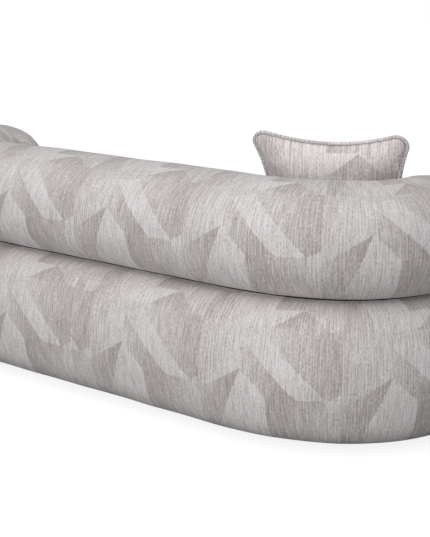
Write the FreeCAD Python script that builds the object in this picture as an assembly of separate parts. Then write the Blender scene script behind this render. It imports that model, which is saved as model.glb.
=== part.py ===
"""Curved three-seater sofa: a padded base with a thick back roll that sweeps round into both arms.

Units are millimetres. The origin is on the floor under the middle of the sofa, X runs along
its length, the seat faces -Y and Z points up. A place across the upholstery is given by its
reach, the distance outwards from the widest line of the base, so reaches inside it are negative.
The foam and the frame are built up from straight mitred lengths, as curved furniture frames
are, and the covers are drawn over them in finer steps.
"""

import FreeCAD
import Part
import math
import os

from FreeCAD import Vector

# Plan of the base: a straight back and front, easing into round ends
overall_length = 2310.0
overall_depth = 1070.0
ease_radius = 1030.0
ease_angle = 16.0
ease_steps = 2
corner_steps = 4
cover_steps = 2

# Section through the padded base
floor_gap = 21.0
base_height = 411.0
side_radius = 400.0
edge_radius = 110.0
crown_radius = 2000.0
crown_rise = 12.0
shoulder_lap = 23.5
hem_width = 20.0

# Section through the back roll
roll_inset = 26.0
roll_width = 368.0
roll_flank = 32.0
roll_top_radius = 215.0
roll_side_radius = 140.0
roll_foot_radius = 140.0

# Covers, foam and clearances
cover_thickness = 2.0
dust_cover_thickness = 1.0
soft_clearance = 0.3
foam_facet_angle = 22.0
foam_dome_steps = 8
cover_facet_angle = 11.0
cover_dome_steps = 14
crown_facet_angle = 2.0
bearer_end_sides = 24

# Base frame
board_thickness = 18.0
ring_width = 105.0
post_width = 45.0
post_setback = 55.0
post_height = 262.0
post_pitch = 300.0
rail_width = 30.0
rail_depth = 70.0
strap_width = 60.0
strap_thickness = 2.0
strap_setback = 65.0
strap_pitch = 150.0
strap_pairs = 4
long_strap_places = (-225.0, -75.0, 75.0, 225.0)

# Feet
foot_top_width = 60.0
foot_base_width = 52.0
foot_spread = 420.0

# Frame inside the roll
plate_margin = 4.0
spine_thickness = 12.0
spine_height = 200.0
cleat_width = 20.0
cleat_height = 30.0
cleat_length = 110.0
corner_cleat_length = 75.0
screw_radius = 4.0
screw_length = 35.0
screw_head_height = 5.5
screw_key_width = 13.0
screw_place = 200.0
screw_slit = 14.0
fit_clearance = 0.05

# Scatter cushion, propped in the corner of the arm on the -X side
cushion_size = 474.0
cushion_draw = 32.0
cushion_ear_radius = 28.0
cushion_thickness = 145.0
cushion_edge_thickness = 9.0
cushion_fullness = 1.5
cushion_levels = 5
cushion_top_turn = 80.0
cushion_cover_thickness = 1.5
side_facets = 4
ear_facets = 4
piping_radius = 5.0
piping_sides = 8
cushion_yaw = 23.5
cushion_lean = 27.0
cushion_bearing = -38.0
cushion_gap = 26.0
cushion_settle = 1.1

# Plan worked out from the driving dimensions
ease_turn = math.radians(ease_angle)
half_depth = overall_depth / 2.0
end_radius = (half_depth - ease_radius * (1.0 - math.cos(ease_turn))) / math.cos(ease_turn)
end_run = ease_radius * math.sin(ease_turn) + end_radius * (1.0 - math.sin(ease_turn))
straight_half = overall_length / 2.0 - end_run
end_centre = straight_half + (ease_radius - end_radius) * math.sin(ease_turn)
ease_centre = half_depth - ease_radius

# Base section worked out: the side bulge, its rounded edges and the crown of the seat
half_height = base_height / 2.0
belly_height = floor_gap + half_height
edge_rise = half_height - edge_radius
edge_reach = math.sqrt((side_radius - edge_radius) ** 2 - edge_rise ** 2) - side_radius
side_turn = math.degrees(math.asin(edge_rise / (side_radius - edge_radius)))
crown_turn = math.degrees(math.acos(1.0 - crown_rise / (crown_radius - edge_radius)))
crown_reach = edge_reach - (crown_radius - edge_radius) * math.sin(math.radians(crown_turn))
crown_height = floor_gap + base_height + crown_rise
shoulder_reach = edge_reach + edge_radius * math.sin(math.radians(crown_turn)) - shoulder_lap
shoulder_turn = math.degrees(math.acos((shoulder_reach - crown_reach) / crown_radius))
shoulder_height = crown_height - crown_radius * (1.0 - math.sin(math.radians(shoulder_turn)))
hem_reach = shoulder_reach - hem_width

# Roll section worked out, about its own middle
roll_half = roll_width / 2.0
roll_reach = -(roll_inset + roll_half)
roll_base = shoulder_height + soft_clearance
roll_flat = roll_half - roll_foot_radius
roll_side = roll_half - roll_side_radius
foot_centre = roll_base + roll_foot_radius
flank_top = foot_centre + roll_flank
blend_radius = roll_top_radius - roll_side_radius
blend_turn = math.degrees(math.acos(roll_side / blend_radius))
top_centre = flank_top - math.sqrt(blend_radius ** 2 - roll_side ** 2)
roll_crest = top_centre + roll_top_radius

# Levels and reaches of the frame
frame_reach = shoulder_reach - soft_clearance
ring_reach = frame_reach - ring_width
post_reach = shoulder_reach - post_setback
strap_reach = shoulder_reach - strap_setback
bottom_level = floor_gap + cover_thickness
bottom_top = bottom_level + board_thickness
seat_level = bottom_top + post_height
seat_top = seat_level + board_thickness
web_top = seat_top + 2.0 * strap_thickness
bearer_level = roll_base - board_thickness
plate_level = roll_base + cover_thickness
plate_top = plate_level + board_thickness
plate_half = roll_flat - plate_margin
spine_half = spine_thickness / 2.0
cleat_reach = spine_half + cleat_width
screw_reach = (cleat_reach + plate_half) / 2.0
sink = crown_height + cover_thickness - roll_base
bearer_half = roll_flat + math.sqrt(roll_foot_radius ** 2 - (roll_foot_radius - sink) ** 2)
foot_height = bottom_level - dust_cover_thickness
arm_axis = end_centre + end_radius + roll_reach


# Stations round the plan: centre of the bend, its radius and the turn from the back's direction

def quarter_stations(finer):
    """Stations from the right end of the straight back round to the arm's widest point."""
    stations = []
    for step in range(ease_steps * finer):
        turn = ease_turn * step / (ease_steps * finer)
        stations.append((straight_half, ease_centre, ease_radius, turn))
    for step in range(corner_steps * finer + 1):
        turn = ease_turn + (math.pi / 2.0 - ease_turn) * step / (corner_steps * finer)
        stations.append((end_centre, 0.0, end_radius, turn))
    return stations


def mirrored(stations):
    """The same stations on the left, walked the other way."""
    return [(-x, y, radius, -turn) for x, y, radius, turn in reversed(stations)]


def to_front(stations):
    """The same stations on the front, walked the other way."""
    return [(x, -y, radius, math.pi - turn) for x, y, radius, turn in reversed(stations)]


def whole_ends(quarter):
    """Stations round the right end from back to front, and round the left end to the back."""
    front = to_front(quarter)
    return quarter + front[1:], mirrored(front) + mirrored(quarter)[1:]


rear_right = quarter_stations(1)
rear_left = mirrored(rear_right)
arch = rear_left + rear_right
right_end, left_end = whole_ends(rear_right)
ring = right_end + left_end
cover_right = quarter_stations(cover_steps)
cover_arch = mirrored(cover_right) + cover_right
cover_right_end, cover_left_end = whole_ends(cover_right)
cover_ring = cover_right_end + cover_left_end


def place(station, reach, height):
    """Point of the plan at a station, a reach out from the widest line and a height."""
    x, y, radius, turn = station
    out = radius + reach
    return Vector(x + out * math.sin(turn), y + out * math.cos(turn), height)


def section_at(station, outline, reach=0.0):
    """An outline of (reach, height) pairs stood up at a station."""
    return [place(station, reach + across, height) for across, height in outline]


def section_between(near, far, share, outline, reach):
    """The outline part of the way along the straight length between two stations."""
    start = section_at(near, outline, reach)
    end = section_at(far, outline, reach)
    return [a + (b - a) * share for a, b in zip(start, end)]


# Solids with flat faces

def panel(corners):
    """Flat face through the corners, or two triangles where four corners aren't in one plane."""
    kept = []
    for corner in corners:
        if all(corner.distanceToPoint(other) > 1e-6 for other in kept):
            kept.append(corner)
    if len(kept) < 3:
        return []
    if len(kept) == 4:
        normal = (kept[1] - kept[0]).cross(kept[2] - kept[0])
        if abs((kept[3] - kept[0]).dot(normal)) > 1e-6 * normal.Length:
            return panel(kept[:3]) + panel([kept[0], kept[2], kept[3]])
    return [Part.Face(Part.makePolygon(kept + kept[:1]))]


def skin(sections, closed=False):
    """Solid with straight lengths between sections that all have the same number of corners."""
    faces = []
    following = sections[1:] + sections[:1] if closed else sections[1:]
    for near, far in zip(sections, following):
        for index in range(len(near)):
            after = (index + 1) % len(near)
            faces += panel([near[index], near[after], far[after], far[index]])
    if not closed:
        faces.append(Part.Face(Part.makePolygon(sections[0] + sections[0][:1])))
        faces.append(Part.Face(Part.makePolygon(sections[-1] + sections[-1][:1])))
    shell = Part.makeShell(faces)
    shell.sewShape()
    solid = Part.makeSolid(shell)
    if solid.Volume < 0.0:
        solid.reverse()
    return solid


def rectangle(inner, outer, low, high):
    """Outline of a square-cut board standing between two reaches and two levels."""
    return [(outer, low), (outer, high), (inner, high), (inner, low)]


def lengths(stations, outline, reach=0.0):
    """One separate mitred length of the outline for each straight run between stations."""
    spans = zip(stations, stations[1:])
    return [skin([section_at(a, outline, reach), section_at(b, outline, reach)]) for a, b in spans]


def run(stations, outline, reach=0.0):
    """The outline carried along the stations as one piece."""
    return skin([section_at(station, outline, reach) for station in stations])


def hoop(stations, outline):
    """The outline carried all round the base as one closed piece."""
    return skin([section_at(station, outline) for station in stations], closed=True)


def plan_block(stations, reach, low, high):
    """Everything inside a reach of the plan, between two levels."""
    corners = [place(station, reach, low) for station in stations]
    return Part.Face(Part.makePolygon(corners + corners[:1])).extrude(Vector(0, 0, high - low))


# Solids with round faces

def arc_point(arc, turn):
    """Point of an arc (centre reach, centre height, radius, start, end) at a turn in degrees."""
    angle = math.radians(turn)
    return arc[0] + arc[2] * math.cos(angle), arc[1] + arc[2] * math.sin(angle)


def round_face(arcs, corners):
    """Face in the section plane bounded by tangent arcs and then by straight lines to corners."""
    def stand(point):
        return Vector(0.0, point[0], point[1])

    edges = []
    last = None
    for arc in arcs:
        start, end = arc[3], arc[4]
        stops = [stand(arc_point(arc, turn)) for turn in (start, (start + end) / 2.0, end)]
        if last is not None and last.distanceToPoint(stops[0]) > 1e-6:
            edges.append(Part.makeLine(last, stops[0]))
        edges.append(Part.Arc(*stops).toShape())
        last = stops[2]
    first = stand(arc_point(arcs[0], arcs[0][3]))
    for corner in [stand(point) for point in corners] + [first]:
        if last.distanceToPoint(corner) > 1e-6:
            edges.append(Part.makeLine(last, corner))
            last = corner
    return Part.Face(Part.Wire(edges))


def facets(arcs, facet_angle):
    """Corners of the same arcs cut into straight facets of at most an angle each."""
    corners = []
    for arc in arcs:
        count = math.ceil(abs(arc[4] - arc[3]) / facet_angle - 1e-9)
        for step in range(count + 1):
            corner = arc_point(arc, arc[3] + (arc[4] - arc[3]) * step / count)
            if not corners or math.dist(corner, corners[-1]) > 1e-6:
                corners.append(corner)
    return corners


def stood(face, station):
    """The section face moved to a station of the plan."""
    x, y, radius, turn = station
    moved = face.copy()
    moved.translate(Vector(0, radius, 0))
    moved.rotate(Vector(0, 0, 0), Vector(0, 0, 1), -math.degrees(turn))
    moved.translate(Vector(x, y, 0))
    return moved


def joined(solids):
    """One solid from pieces that meet face to face."""
    return solids[0].multiFuse(solids[1:]).removeSplitter()


def drawn(stations, face):
    """A section with round edges carried from station to station."""
    return Part.makeLoft([stood(face, station).OuterWire for station in stations], True, True)


def drawn_round(face):
    """A section with round edges carried all round the base."""
    right = drawn(cover_right_end + cover_left_end[:1], face)
    left = drawn(cover_left_end + cover_right_end[:1], face)
    return joined([right, left])


# Sections of the upholstery

def base_arcs(inset):
    """Bulged side of the base from its underside up on to the crown, drawn in by an inset."""
    low = belly_height - edge_rise
    high = belly_height + edge_rise
    edge = edge_radius - inset
    return [
        (edge_reach, low, edge, -90.0, -side_turn),
        (-side_radius, belly_height, side_radius - inset, -side_turn, side_turn),
        (edge_reach, high, edge, side_turn, 90.0 - crown_turn),
        crown_arc(inset, 90.0 - crown_turn, shoulder_turn),
    ]


def crown_arc(inset, start, end):
    """Gentle rise of the seat from its edge to the middle."""
    return crown_reach, crown_height - crown_radius, crown_radius - inset, start, end


def roll_arcs(inset):
    """The roll from its outer foot over the crest to its inner foot, drawn in by an inset."""
    foot = roll_foot_radius - inset
    side = roll_side_radius - inset
    return [
        (roll_flat, foot_centre, foot, -90.0, 0.0),
        (roll_side, flank_top, side, 0.0, blend_turn),
        (0.0, top_centre, roll_top_radius - inset, blend_turn, 180.0 - blend_turn),
        (-roll_side, flank_top, side, 180.0 - blend_turn, 180.0),
        (-roll_flat, foot_centre, foot, 180.0, 270.0),
    ]


def half_roll_arcs(inset):
    """The outer half of the roll, which is spun to make an arm's domed end."""
    foot, side, top = roll_arcs(inset)[:3]
    return [foot, side, top[:4] + (90.0,)]


def base_foam_outline(inset, depth):
    """Side padding in flat facets, from the cover in to a depth behind the shoulder."""
    outer = facets(base_arcs(inset), foam_facet_angle)
    back = outer[-1][0] - depth
    return outer + [(back, outer[-1][1]), (back, outer[0][1])]


def arm_dome(side, inset, facet_angle, steps):
    """Half-round end of the roll in straight facets, spun about the arm's end."""
    outline = facets(half_roll_arcs(inset), facet_angle) + [(0.0, roll_base + inset)]
    sections = []
    for step in range(steps + 1):
        turn = math.pi / 2.0 + math.pi * step / steps
        sections.append(section_at((side * arm_axis, 0.0, 0.0, turn), outline))
    return skin(sections)


def foam_dome(side, inset):
    """End of the roll in the coarser facets of the foam."""
    return arm_dome(side, inset, foam_facet_angle, foam_dome_steps)


# Covers

def make_roll_cover():
    """Sewn sleeve of the roll with its domed ends and wadding, slit for the fixing screws."""
    moved = [(arc[0] + roll_reach,) + arc[1:] for arc in roll_arcs(0.0)]
    outer = [drawn(cover_arch, round_face(moved, []))]
    hollow = [run(arch, facets(roll_arcs(cover_thickness), foam_facet_angle), roll_reach)]
    for side in (1.0, -1.0):
        outer.append(arm_dome(side, 0.0, cover_facet_angle, cover_dome_steps))
        hollow.append(foam_dome(side, cover_thickness))
    for spot in screw_spots():
        corner = spot + Vector(-screw_slit / 2.0, -screw_slit / 2.0, roll_base)
        hollow.append(Part.makeBox(screw_slit, screw_slit, cover_thickness, corner))
    return joined(outer).cut(hollow)


def make_base_cover():
    """Cover of the base's side: shoulder, bulged side and the hem tacked under the frame."""
    corners = [
        (shoulder_reach, bottom_level),
        (hem_reach, bottom_level),
        (hem_reach, floor_gap),
    ]
    outer = drawn_round(round_face(base_arcs(0.0), corners))
    return outer.cut(hoop(ring, base_foam_outline(cover_thickness, shoulder_lap)))


def make_seat_cover():
    """Crowned seat panel, sewn to the shoulder in front and cut out round the roll's bearer."""
    edge_turn = math.degrees(math.acos((frame_reach - crown_reach) / crown_radius))
    top = facets([crown_arc(0.0, edge_turn, 90.0)], crown_facet_angle)
    under = [(reach, height - cover_thickness) for reach, height in reversed(top)]
    rim = hoop(cover_ring, top + under)
    middle = plan_block(cover_ring, crown_reach, crown_height - cover_thickness, crown_height)
    return joined([rim, middle]).cut(bearer_room())


def make_dust_cover():
    """Thin cloth closing the underside inside the hem."""
    return plan_block(ring, hem_reach - soft_clearance, foot_height, bottom_level)


# Foam

def base_padding(stations):
    """Mitred foam blocks of the base's side along the stations."""
    return lengths(stations, base_foam_outline(cover_thickness + soft_clearance, 0.0))


def roll_foam_outline():
    """Roll foam in flat facets, with the channel that drops over the plate, cleats and spine."""
    inset = cover_thickness + soft_clearance
    steps = [
        (plate_half, plate_level + soft_clearance, plate_top),
        (cleat_reach, plate_top, plate_top + cleat_height),
        (spine_half, plate_top + cleat_height, plate_top + spine_height),
    ]
    channel = []
    for half, low, high in steps:
        low += soft_clearance if channel else 0.0
        channel += [(half + soft_clearance, low), (half + soft_clearance, high + soft_clearance)]
    other_side = [(-across, height) for across, height in channel]
    return facets(roll_arcs(inset), foam_facet_angle) + other_side + channel[::-1]


def make_seat_foam():
    """Seat block on the webbing, crowned like its cover, with room for the roll's bearer."""
    inset = cover_thickness + soft_clearance
    edge_turn = math.degrees(math.acos((frame_reach - crown_reach) / crown_radius))
    edge = arc_point(crown_arc(inset, edge_turn, 90.0), edge_turn)
    middle_top = crown_height - inset
    rim = [(edge[0], web_top), edge, (crown_reach, middle_top), (crown_reach, web_top)]
    block = joined([hoop(ring, rim), plan_block(ring, crown_reach, web_top, middle_top)])
    return block.cut(bearer_room())


# Frame

def upright(x, y, turn, low, high):
    """Square post turned to the run of the frame it stands in."""
    corner = Vector(-post_width / 2.0, -post_width / 2.0, low)
    post = Part.makeBox(post_width, post_width, high - low, corner)
    post.rotate(Vector(0, 0, 0), Vector(0, 0, 1), -math.degrees(turn))
    post.translate(Vector(x, y, 0))
    return post


def straight_posts(side, low, high):
    """Posts along the straight back or front."""
    y = side * (half_depth + post_reach)
    places = [post_pitch * (index - 1.5) for index in range(4)]
    return [upright(x, y, 0.0, low, high) for x in places]


def corner_posts(side, low, high):
    """Posts in the first and third straight lengths of a rear corner."""
    posts = []
    for index in (ease_steps, ease_steps + 2):
        near, far = rear_right[index], rear_right[index + 1]
        spot = (place(near, post_reach, 0.0) + place(far, post_reach, 0.0)) * 0.5
        turn = (near[3] + far[3]) / 2.0
        posts.append(upright(side * spot.x, spot.y, side * turn, low, high))
    return posts


def end_posts(side):
    """Posts of one end of the base, in its rear and front corners."""
    rear = corner_posts(side, bottom_top, seat_level)
    return rear + [post.mirror(Vector(0, 0, 0), Vector(0, 1, 0)) for post in rear]


def bearer_shape(grow, outer, low, high):
    """Flat board out to a reach that the roll stands on, rounded in front of each arm."""
    strip = rectangle(roll_reach - bearer_half - grow, outer, low, high)
    inside = plan_block(ring, outer, low, high)
    radius = bearer_half + grow
    turns = [2.0 * math.pi * index / bearer_end_sides for index in range(bearer_end_sides + 1)]
    ends = []
    for side in (1.0, -1.0):
        middle = Vector(side * arm_axis, 0, low)
        corners = [middle + Vector(radius * math.cos(t), radius * math.sin(t), 0) for t in turns]
        end = Part.Face(Part.makePolygon(corners)).extrude(Vector(0, 0, high - low))
        ends.append(end.common(inside))
    return joined([run(arch, strip)] + ends)


def bearer_room():
    """Room left in the seat for the bearer and the blocks under it."""
    return bearer_shape(soft_clearance, frame_reach + shoulder_lap, web_top, crown_height)


def make_cross_rail(x):
    """Rail under the seat ring from a back post to a front post."""
    half = half_depth + post_reach - post_width / 2.0
    corner = Vector(x - rail_width / 2.0, -half, seat_level - rail_depth)
    return Part.makeBox(rail_width, 2.0 * half, rail_depth, corner)


def make_cross_straps():
    """Webbing from the back of the seat ring to its front."""
    half = half_depth + strap_reach
    straps = []
    for index in range(2 * strap_pairs):
        x = strap_pitch * (index - strap_pairs + 0.5)
        corner = Vector(x - strap_width / 2.0, -half, seat_top)
        straps.append(Part.makeBox(strap_width, 2.0 * half, strap_thickness, corner))
    return straps


def make_long_straps():
    """Webbing along the sofa, laid over the cross straps and ending over the seat ring."""
    straps = []
    for y in long_strap_places:
        half = end_centre + math.sqrt((end_radius + strap_reach) ** 2 - y ** 2)
        corner = Vector(-half, y - strap_width / 2.0, seat_top + strap_thickness)
        straps.append(Part.makeBox(2.0 * half, strap_width, strap_thickness, corner))
    return straps


def make_cleats():
    """Short battens that tie the spine to the plate, on both of its faces."""
    outlines = [
        rectangle(spine_half, cleat_reach, plate_top, plate_top + cleat_height),
        rectangle(-cleat_reach, -spine_half, plate_top, plate_top + cleat_height),
    ]
    runs = [(rear_left[-1], rear_right[0], share, cleat_length) for share in (0.1, 0.5, 0.9)]
    for index in (ease_steps, ease_steps + 2):
        runs.append((rear_right[index], rear_right[index + 1], 0.5, corner_cleat_length))
        runs.append((rear_left[-2 - index], rear_left[-1 - index], 0.5, corner_cleat_length))
    cleats = []
    for near, far, middle, length in runs:
        span = place(far, roll_reach, 0.0) - place(near, roll_reach, 0.0)
        half = length / (2.0 * span.Length)
        stops = (middle - half, middle + half)
        for outline in outlines:
            cleats.append(skin([section_between(near, far, s, outline, roll_reach) for s in stops]))
    return cleats


# Fasteners and feet

def screw_spots():
    """Places of the roll's screws: two along the back and one in each arm."""
    reach = roll_reach + screw_reach
    near, far = rear_right[-2:]
    right = [Vector(screw_place, half_depth + reach, 0)]
    right.append((place(near, reach, 0.0) + place(far, reach, 0.0)) * 0.5)
    return right + [Vector(-spot.x, spot.y, 0) for spot in right]


def rods(radius, low, high):
    """Round bars at the screws' places between two levels."""
    return [Part.makeCylinder(radius, high - low, spot + Vector(0, 0, low)) for spot in screw_spots()]


def screw_holes(low, high):
    """Holes that the screws pass through with a little clearance."""
    return rods(screw_radius + fit_clearance, low, high)


def make_roll_screws():
    """Hexagon coach screws put in from under the bearer into the roll's plate."""
    shanks = rods(screw_radius, bearer_level, bearer_level + screw_length)
    radius = screw_key_width / math.sqrt(3.0)
    screws = []
    for spot, shank in zip(screw_spots(), shanks):
        turns = [math.radians(60.0 * index) for index in range(7)]
        low = bearer_level - screw_head_height
        corners = [spot + Vector(radius * math.cos(t), radius * math.sin(t), low) for t in turns]
        head = Part.Face(Part.makePolygon(corners)).extrude(Vector(0, 0, screw_head_height))
        screws.append(joined([head, shank]))
    return screws


def square_at(spot, width, height):
    """Corners of a level square about a spot."""
    half = width / 2.0
    offsets = [(half, half), (-half, half), (-half, -half), (half, -half)]
    return [spot + Vector(x, y, height) for x, y in offsets]


def make_feet():
    """Low tapered feet: two behind, two in front and one under each arm."""
    y = half_depth + post_reach
    spots = [Vector(x, side * y, 0) for x in (foot_spread, -foot_spread) for side in (1.0, -1.0)]
    spots += [Vector(side * (end_centre + end_radius + post_reach), 0, 0) for side in (1.0, -1.0)]
    feet = []
    for spot in spots:
        base = square_at(spot, foot_base_width, 0.0)
        feet.append(skin([base, square_at(spot, foot_top_width, foot_height)]))
    return feet


# Scatter cushion, made standing up about its own middle with its back towards +Y

pillow_half = cushion_size / 2.0 - 2.0 * piping_radius - soft_clearance
ear_centre = pillow_half - cushion_ear_radius
bow_radius = (ear_centre ** 2 + cushion_draw ** 2) / (2.0 * cushion_draw) - cushion_ear_radius
bow_centre = pillow_half - cushion_draw + bow_radius
bow_turn = math.degrees(math.atan2(ear_centre, bow_centre - ear_centre))


def cushion_arcs(grow):
    """Drawn-in side and rounded ear of one quarter of the cushion's outline, grown outwards."""
    side = (bow_centre, 0.0, bow_radius - grow, 180.0 + bow_turn, 180.0 - bow_turn)
    ear = (ear_centre, ear_centre, cushion_ear_radius + grow, -bow_turn, 90.0 + bow_turn)
    return [side, ear]


def quarter_turned(point, quarter):
    """A point of the first quarter carried round to another quarter."""
    across, up = point
    for _ in range(quarter):
        across, up = -up, across
    return across, up


def eased(point, scale):
    """A point of the outline drawn in towards the middle, where the outline turns round."""
    across, up = point
    far = math.hypot(across, up)
    round_share = (1.0 - scale) * pillow_half / far
    share = scale * (scale + round_share)
    return share * across, share * up


def cushion_corners(grow):
    """Corners of the outline cut into straight facets, with the direction out of each."""
    corners = []
    for quarter in range(4):
        for arc, count, sense in zip(cushion_arcs(grow), (side_facets, ear_facets), (-1.0, 1.0)):
            for step in range(count):
                turn = arc[3] + (arc[4] - arc[3]) * step / count
                angle = math.radians(turn)
                out = (sense * math.cos(angle), sense * math.sin(angle))
                spot = quarter_turned(arc_point(arc, turn), quarter)
                corners.append((spot, quarter_turned(out, quarter)))
    return corners


def cushion_rise(inset):
    """Sizes of the outline and their depths from the edge up to the top of the crown."""
    edge = cushion_edge_thickness / 2.0 - inset
    crown = cushion_thickness / 2.0 - inset
    levels = []
    for step in range(cushion_levels + 1):
        turn = math.radians(cushion_top_turn * step / cushion_levels)
        scale = (pillow_half - inset) / pillow_half * math.cos(turn)
        levels.append((scale, edge + (crown - edge) * math.sin(turn) ** cushion_fullness))
    return levels


def cushion_core(inset):
    """Body of the cushion in straight facets, inside its cover by an inset."""
    rise = cushion_rise(inset)
    levels = [(scale, -depth) for scale, depth in reversed(rise)] + rise
    sections = []
    for scale, depth in levels:
        spots = [eased(spot, scale) for spot, _ in cushion_corners(0.0)]
        sections.append([Vector(across, depth, up) for across, up in spots])
    return skin(sections)


def make_cushion_cover():
    """Crowned cover with a knife edge and drawn-in sides."""
    return cushion_core(0.0).cut(cushion_core(cushion_cover_thickness))


def make_piping():
    """Covered cord sewn round the cushion's edge."""
    turns = [2.0 * math.pi * index / piping_sides for index in range(piping_sides)]
    sections = []
    for (x, z), (out_x, out_z) in cushion_corners(piping_radius + soft_clearance):
        middle = Vector(x, 0, z)
        out = Vector(out_x, 0, out_z) * piping_radius
        back = Vector(0, piping_radius, 0)
        sections.append([middle + out * math.cos(t) + back * math.sin(t) for t in turns])
    return skin(sections, closed=True)


def propped(solid):
    """The cushion turned, leaned back and set down with one edge beside the left arm's end."""
    yaw = math.radians(cushion_yaw)
    lean = math.radians(cushion_lean)
    along = Vector(math.cos(yaw), math.sin(yaw), 0)
    behind = Vector(-math.sin(yaw), math.cos(yaw), 0)
    seat = crown_height + soft_clearance - cushion_settle
    middle_height = seat + piping_radius + (cushion_size / 2.0 - piping_radius) * math.cos(lean)
    belly = (foot_centre + flank_top) / 2.0
    drop = (middle_height - belly) * math.tan(lean)
    bearing = math.radians(cushion_bearing)
    away = Vector(math.cos(bearing), math.sin(bearing), 0) * (roll_half + cushion_gap)
    edge = Vector(-arm_axis, 0, middle_height) + away
    moved = solid.copy()
    moved.rotate(Vector(0, 0, 0), Vector(1, 0, 0), -cushion_lean)
    moved.rotate(Vector(0, 0, 0), Vector(0, 0, 1), cushion_yaw)
    moved.translate(edge + along * (cushion_size / 2.0 - cushion_draw) + behind * drop)
    return moved


def save(name, pieces):
    """Write the solids of one node to its file."""
    solids = [solid for piece in pieces for solid in piece.Solids]
    shape = solids[0] if len(solids) == 1 else Part.makeCompound(solids)
    shape.exportStep("parts/" + name + ".step")


os.makedirs("parts", exist_ok=True)

# Base
save("bottom_ring", [hoop(ring, rectangle(ring_reach, frame_reach, bottom_level, bottom_top))])
save("seat_ring", [hoop(ring, rectangle(ring_reach, frame_reach, seat_level, seat_top))])
save("back_posts", straight_posts(1.0, bottom_top, seat_level))
save("front_posts", straight_posts(-1.0, bottom_top, seat_level))
save("left_posts", end_posts(-1.0))
save("right_posts", end_posts(1.0))
for number in range(4):
    save("cross_rail_%d" % (number + 1), [make_cross_rail(post_pitch * (number - 1.5))])
save("cross_straps", make_cross_straps())
save("long_straps", make_long_straps())
bearer_blocks = straight_posts(1.0, seat_top, bearer_level)
for side in (1.0, -1.0):
    bearer_blocks += corner_posts(side, seat_top, bearer_level)
save("bearer_blocks", bearer_blocks)
bearer = bearer_shape(0.0, frame_reach, bearer_level, roll_base)
save("bearer", [bearer.cut(screw_holes(bearer_level, roll_base))])
save("base_foam_back", base_padding([left_end[-1], right_end[0]]))
save("base_foam_front", base_padding([right_end[-1], left_end[0]]))
save("base_foam_left", base_padding(left_end))
save("base_foam_right", base_padding(right_end))
save("seat_foam", [make_seat_foam()])
save("base_cover", [make_base_cover()])
save("seat_cover", [make_seat_cover()])
save("dust_cover", [make_dust_cover()])
save("feet", make_feet())

# Back roll and arms
roll_plate = run(arch, rectangle(-plate_half, plate_half, plate_level, plate_top), roll_reach)
save("roll_plate", [roll_plate.cut(screw_holes(plate_level, bearer_level + screw_length))])
spine = rectangle(-spine_half, spine_half, plate_top, plate_top + spine_height)
save("roll_spine", [run(arch, spine, roll_reach)])
save("roll_cleats", make_cleats())
save("roll_screws", make_roll_screws())
save("roll_foam_back", lengths([rear_left[-1], rear_right[0]], roll_foam_outline(), roll_reach))
save("roll_foam_left", lengths(rear_left, roll_foam_outline(), roll_reach))
save("roll_foam_right", lengths(rear_right, roll_foam_outline(), roll_reach))
save("roll_foam_left_end", [foam_dome(-1.0, cover_thickness + soft_clearance)])
save("roll_foam_right_end", [foam_dome(1.0, cover_thickness + soft_clearance)])
save("roll_cover", [make_roll_cover()])

# Scatter cushion
save("cushion_cover", [propped(make_cushion_cover())])
save("cushion_piping", [propped(make_piping())])
save("cushion_filling", [propped(cushion_core(cushion_cover_thickness + soft_clearance))])

print("back height %.1f, seat height %.1f" % (roll_crest, crown_height))
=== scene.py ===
"""Curved sofa with a back roll, a seat panel and a scatter cushion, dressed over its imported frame."""

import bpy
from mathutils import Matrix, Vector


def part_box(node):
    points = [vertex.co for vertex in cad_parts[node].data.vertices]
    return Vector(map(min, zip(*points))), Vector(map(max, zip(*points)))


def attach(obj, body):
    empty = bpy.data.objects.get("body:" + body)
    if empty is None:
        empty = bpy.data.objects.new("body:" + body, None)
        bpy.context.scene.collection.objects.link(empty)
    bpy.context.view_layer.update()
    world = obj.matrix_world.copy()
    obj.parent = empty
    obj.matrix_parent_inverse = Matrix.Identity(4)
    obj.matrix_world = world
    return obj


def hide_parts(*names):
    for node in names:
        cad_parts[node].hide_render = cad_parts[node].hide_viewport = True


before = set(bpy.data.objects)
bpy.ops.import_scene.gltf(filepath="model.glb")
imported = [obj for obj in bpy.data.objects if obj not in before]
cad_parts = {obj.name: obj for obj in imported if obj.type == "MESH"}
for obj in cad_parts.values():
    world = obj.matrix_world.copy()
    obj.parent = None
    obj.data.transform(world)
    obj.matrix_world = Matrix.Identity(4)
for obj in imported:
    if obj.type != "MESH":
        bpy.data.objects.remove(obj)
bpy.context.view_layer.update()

from types import SimpleNamespace

import bpy
import bmesh
import numpy as np
from mathutils import Vector

bl_info = {
    "name": "Curved sofa",
    "version": (1, 0, 0),
    "blender": (4, 5, 0),
    "location": "3D View > Sidebar > Sofa",
    "description": "Upholstery, cushion, finishes and studio of a curved sofa",
    "category": "Object",
}

BASE_LOW, BASE_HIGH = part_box("base_cover")

FOAM_OF_BASE = ("base_foam_back", "base_foam_front", "base_foam_left", "base_foam_right")
FOAM_OF_ROLL = (
    "roll_foam_back", "roll_foam_left", "roll_foam_right", "roll_foam_left_end", "roll_foam_right_end",
)
TIMBER = (
    "bottom_ring", "seat_ring", "back_posts", "front_posts", "left_posts", "right_posts",
    "cross_rail_1", "cross_rail_2", "cross_rail_3", "cross_rail_4",
    "bearer", "bearer_blocks", "roll_plate", "roll_spine", "roll_cleats",
)
WEBBING = ("cross_straps", "long_straps")

# Points along and across the meshes, and frames of the simulation
ARC_POINTS = 65
WALK_POINTS = 2000
BASE_STATIONS = 880
SEAT_GRID = (110, 300)
ROLL_STATIONS = 330
DOME_STATIONS = 37
PILLOW_GRID = (40, 220)
CORD_GRID = (720, 14)
WALL_POINTS, FLAT_POINTS = 6, 9
DUST_GRID = (60, 150)
FRAMES = 20

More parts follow.
